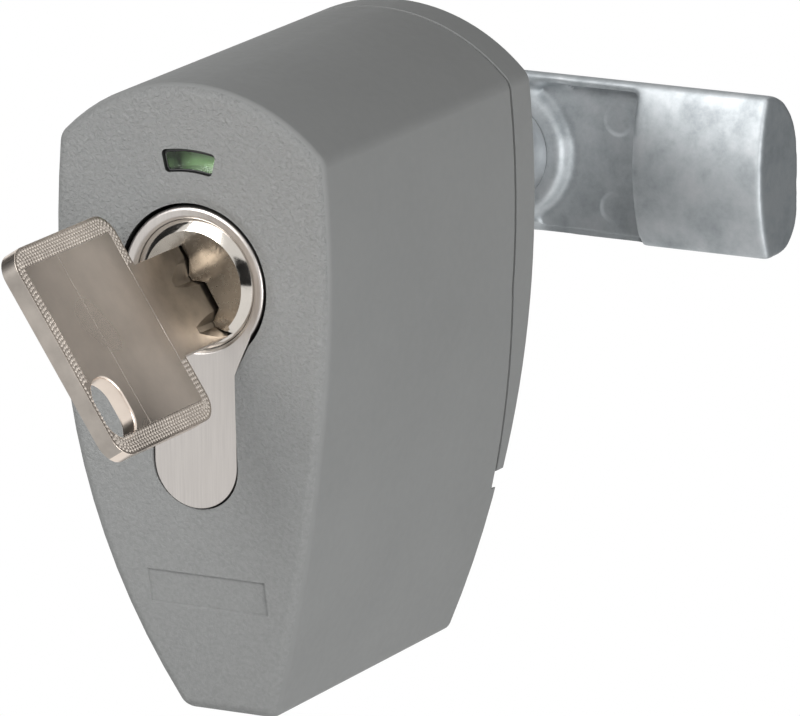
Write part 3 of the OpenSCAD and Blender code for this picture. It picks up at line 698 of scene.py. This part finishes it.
def bow_row(d, late):
    (y0, y1), (z0, z1) = BOW_Y, BOW_Z
    r = max(2.6 - d, 0.2)
    top = corner(y1 - d - r, z1 - d - r, r, 0) + corner(y0 + d + r, z1 - d - r, r, 90)
    low = corner(y0 + d + r, z0 + d + r, r, 180) + corner(y1 - d - r, z0 + d + r, r, 270)
    if d > 1.5:
        return [[(y1 - 1.1 - late, z1 - d), (y0 + 1.1, z1 - d)],
                [(y0 + 1.1 + late, z0 + d), (y1 - 1.1, z0 + d)]]
    first = [(y1 - d, NECK_Z[1] + 0.5 + late)] + top
    last = low + [(y1 - d, NECK_Z[0] - 0.5)]
    if d > 0.5:
        gap = HOLE[3] + 0.25
        return [first + [(y0 + d, HOLE[1] + gap)], [(y0 + d, HOLE[1] - gap - late)] + last]
    return [first + last]


def chains(paths, height):
    """A mesh of edges only, from lists of (y, z) in mm at one height of the key's side."""
    verts, edges = [], []
    for path in paths:
        edges += [(len(verts) + i, len(verts) + i + 1) for i in range(len(path) - 1)]
        verts += [(height * MM, y * MM, z * MM) for y, z in path]
    mesh = bpy.data.meshes.new("chains")
    mesh.from_pydata(verts, edges, [])
    return mesh


def on_key(name, paths, tree, values):
    """Runs a tree on chains for one side of the key, mirrors the result and puts it on the key."""
    piece = bpy.data.objects.new(name, chains(paths, BOW_HALF - 0.01))
    scene.collection.objects.link(piece)
    modifier = piece.modifiers.new(name, "NODES")
    modifier.node_group = tree
    for item in tree.interface.items_tree:
        if item.in_out == "INPUT" and item.name in values:
            modifier[item.identifier] = values[item.name]
    piece.update_tag()
    made_plain(piece)
    bm = bmesh.new()
    bm.from_mesh(piece.data)
    other = bmesh.ops.duplicate(bm, geom=bm.verts[:] + bm.edges[:] + bm.faces[:])["geom"]
    bmesh.ops.scale(bm, vec=(-1, 1, 1), verts=[g for g in other if isinstance(g, bmesh.types.BMVert)])
    bmesh.ops.reverse_faces(bm, faces=[g for g in other if isinstance(g, bmesh.types.BMFace)])
    bm.to_mesh(piece.data)
    bm.free()
    piece.data.transform(KEY_TURN)
    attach(piece, "key")
    print(name, "faces", len(piece.data.polygons))
    return piece


STEP_MM = 0.50
ROW_INSETS_MM = (0.44, 0.80, 1.16, 1.52, 1.88)
rows = [path for i, d in enumerate(ROW_INSETS_MM) for path in bow_row(d, i % 2 * STEP_MM / 2)]
on_key("key_knurl", rows, KNURL, {"Spacing": STEP_MM * MM, "Radius": 0.26 * MM, "Height": 0.15 * MM,
                                  "Material": nickel_dots})

left, right_line, cross = BOW_Y[0] + 1.42, BOW_Y[1] - 1.30, -68.2
low, high = BOW_Z[0] + 2.16, BOW_Z[1] - 2.16
frame_lines = [[(left, HOLE[1] + 3.4), (left, high), (right_line, high), (right_line, low),
                (left + 1.0, low)],
               [(cross, low), (cross, high)]]
on_key("key_lines", frame_lines, LINES, {"Radius": 0.05 * MM, "Material": nickel_dots})

# %% [markdown]
# The window is a small clear block in an arc-shaped opening. Seen from the front it has a dark band all
# round, painted shade that is wider at the top, where the edge of the handle shades it. The band is one
# ring of faces that follows the same arcs as the opening.

# %% Window shade band and lens
def window_loop(inset, top):
    """The outline of the window in mm as (x, z), set in by inset, and by top at its outer arc."""
    r_in, r_out = 12.4 + inset, 14.9 - top
    a = math.radians(12.8) - inset / 13.6
    q = max(0.5 - inset, 0.12)
    points = []
    for radius, side, sign in ((r_out, 1, 1), (r_in, -1, -1)):
        b = a - q / radius
        arc = [sign * (-b + 2 * b * i / 16) for i in range(17)]
        points += [(radius * math.sin(t), radius * math.cos(t)) for t in arc]
        corner_a = sign * a
        points.append(((radius - side * q * 0.3) * math.sin(corner_a - sign * 0.3 * q / radius),
                       (radius - side * q * 0.3) * math.cos(corner_a - sign * 0.3 * q / radius)))
        points.append(((radius - side * q) * math.sin(corner_a), (radius - side * q) * math.cos(corner_a)))
        other = r_in if side > 0 else r_out
        points.append(((other + side * q) * math.sin(corner_a), (other + side * q) * math.cos(corner_a)))
        points.append(((other + side * q * 0.3) * math.sin(corner_a - sign * 0.3 * q / other),
                       (other + side * q * 0.3) * math.cos(corner_a - sign * 0.3 * q / other)))
    return points


# painted shade: a near-black band round the window, widest at the outer arc, where the top edge shades it
def window_shade_band():
    bm = bmesh.new()
    loops = []
    for inset, top, y in ((0.03, 0.03, -46.0), (0.03, 0.03, -46.52), (0.10, 0.12, -46.60),
                          (0.20, 0.38, -46.55), (0.22, 0.42, -46.48)):
        loops.append([bm.verts.new((x * MM, y * MM, z * MM)) for x, z in window_loop(inset, top)])
    n = len(loops[0])
    for a, b in zip(loops, loops[1:]):
        for i in range(n):
            bm.faces.new((a[i], a[(i + 1) % n], b[(i + 1) % n], b[i]))
    bmesh.ops.recalc_face_normals(bm, faces=bm.faces)
    piece = piece_of(bm, "window_shade_band", dark_plastic_and_painted_shade)
    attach(piece, "handle")
    return piece


window_shade_band()
lens = softened("window_lens", lens_clear, [(lambda m, e: m.y < -46, 0.2, 3)])
lens.data.materials.append(lens_side)
for polygon in lens.data.polygons:
    if abs(polygon.normal.y) < 0.3:
        polygon.material_index = 1
print("window sealed")

# %% [markdown]
# The remaining nodes keep their own meshes. Each gets the finish that belongs to its slot in the record.

# %% Finishes of the carried nodes
BY_SLOT = {"steel": steel, "bronze": bronze, "rubber": rubber, "lens": lens_clear, "black": dark_plastic_and_painted_shade,
           "green": green, "red": red, "nickel": nickel_face, "plug_nickel": nickel_plug,
           "key_nickel": nickel_key, "zinc": zinc, "grey_paint": coat_smooth, "grey_rim": coat_smooth}
for part in frame["record"]["subparts"]:
    mesh = nodes[part["node"]].data
    mesh.materials.clear()
    mesh.materials.append(BY_SLOT[part["material_slot"]])

# %% [markdown]
# The stage is a pale floor far below, as the lock hangs on a door, and a world that the camera,
# reflections and clear plastic see as white. Broad lamps light the front, the right side and weakly the
# back, so shadows are soft. Three dark cards stand to the left, behind and by the camera. Only
# reflections see them, and they give the metal the dark bands that plated edges need.

# %% Stage and light
def stage_card(name, size, place, aim, colour):
    mesh = bpy.data.meshes.new(name)
    h = size / 2
    mesh.from_pydata([(-h, -h, 0), (h, -h, 0), (h, h, 0), (-h, h, 0)], [], [(0, 1, 2, 3)])
    card = bpy.data.objects.new(name, mesh)
    card.matrix_world = Matrix.Translation(place) @ Vector(aim).to_track_quat("Z", "Y").to_matrix().to_4x4()
    scene.collection.objects.link(card)
    mesh.materials.append(colour)
    return card


def white_to_the_eye(tree):
    """1 for rays of the camera, of reflections and through clear plastic, else 0."""
    rays = tree.nodes.new("ShaderNodeLightPath").outputs
    total = rays["Is Camera Ray"]
    for kind in ("Is Glossy Ray", "Is Transmission Ray"):
        most = tree.nodes.new("ShaderNodeMath")
        most.operation = "MAXIMUM"
        tree.links.new(total, most.inputs[0])
        tree.links.new(rays[kind], most.inputs[1])
        total = most.outputs[0]
    return total


def pale(name):
    f = Finish(name, Roughness=0.9)
    tree = f.tree
    tone = f.ramp(f.noise(3, 2), [(0.3, (0.86, 0.86, 0.86)), (0.7, (0.90, 0.90, 0.90))])
    f.wire(Base_Color=tone)
    glow = f.add("ShaderNodeEmission", Color=(1, 1, 1, 1), Strength=1.0)
    mix = f.add("ShaderNodeMixShader", Fac=white_to_the_eye(tree))
    tree.links.new(f.shader.outputs[0], mix.inputs[1])
    tree.links.new(glow.outputs[0], mix.inputs[2])
    tree.links.new(mix.outputs[0], tree.nodes["Material Output"].inputs["Surface"])
    return f.mat


floor = stage_card("floor", 30.0, (0, 0, -0.35), (0, 0, 1), pale("pale_floor"))
shade = simple("shade_card", (0.02, 0.02, 0.021), 0.9, 20)
DARK_CARDS = (("card_left", 0.80, (-0.60, -0.06, 0.17)), ("card_behind", 1.10, (0.02, 0.55, -0.02)),
              ("card_front", 0.34, (0.36, -0.63, 0.06)))
for name, size, place in DARK_CARDS:
    card = stage_card(name, size, place, -Vector(place), shade)
    card.visible_camera = card.visible_diffuse = card.visible_shadow = card.visible_transmission = False


def lamp(name, size, power, place, aim=(0, -0.02, 0)):
    data = bpy.data.lights.new(name, "AREA")
    data.shape = "SQUARE"
    data.size = size
    data.energy = power
    item = bpy.data.objects.new(name, data)
    item.location = place
    item.rotation_euler = (Vector(aim) - Vector(place)).to_track_quat("-Z", "Y").to_euler()
    scene.collection.objects.link(item)
    return item


lamp("front_left", 0.25, 1.98, (-0.12, -0.37, 0.235))
lamp("right_side", 0.4, 3.2, (0.60, -0.29, -0.10))
lamp("behind", 0.5, 1.5, (-0.30, 0.70, -0.03))

world = bpy.data.worlds.new("studio")
scene.world = world
world.use_nodes = True
back = world.node_tree.nodes["Background"]
level_node = world.node_tree.nodes.new("ShaderNodeMapRange")
level_node.inputs[3].default_value = 0.155
level_node.inputs[4].default_value = 1.0
world.node_tree.links.new(white_to_the_eye(world.node_tree), level_node.inputs[0])
world.node_tree.links.new(level_node.outputs[0], back.inputs["Strength"])
back.inputs["Color"].default_value = (1, 1, 1, 1)
scene.view_settings.view_transform = "Standard"
print("stage and lamps ready")

# %% [markdown]

# %% End
print("scene dressed")
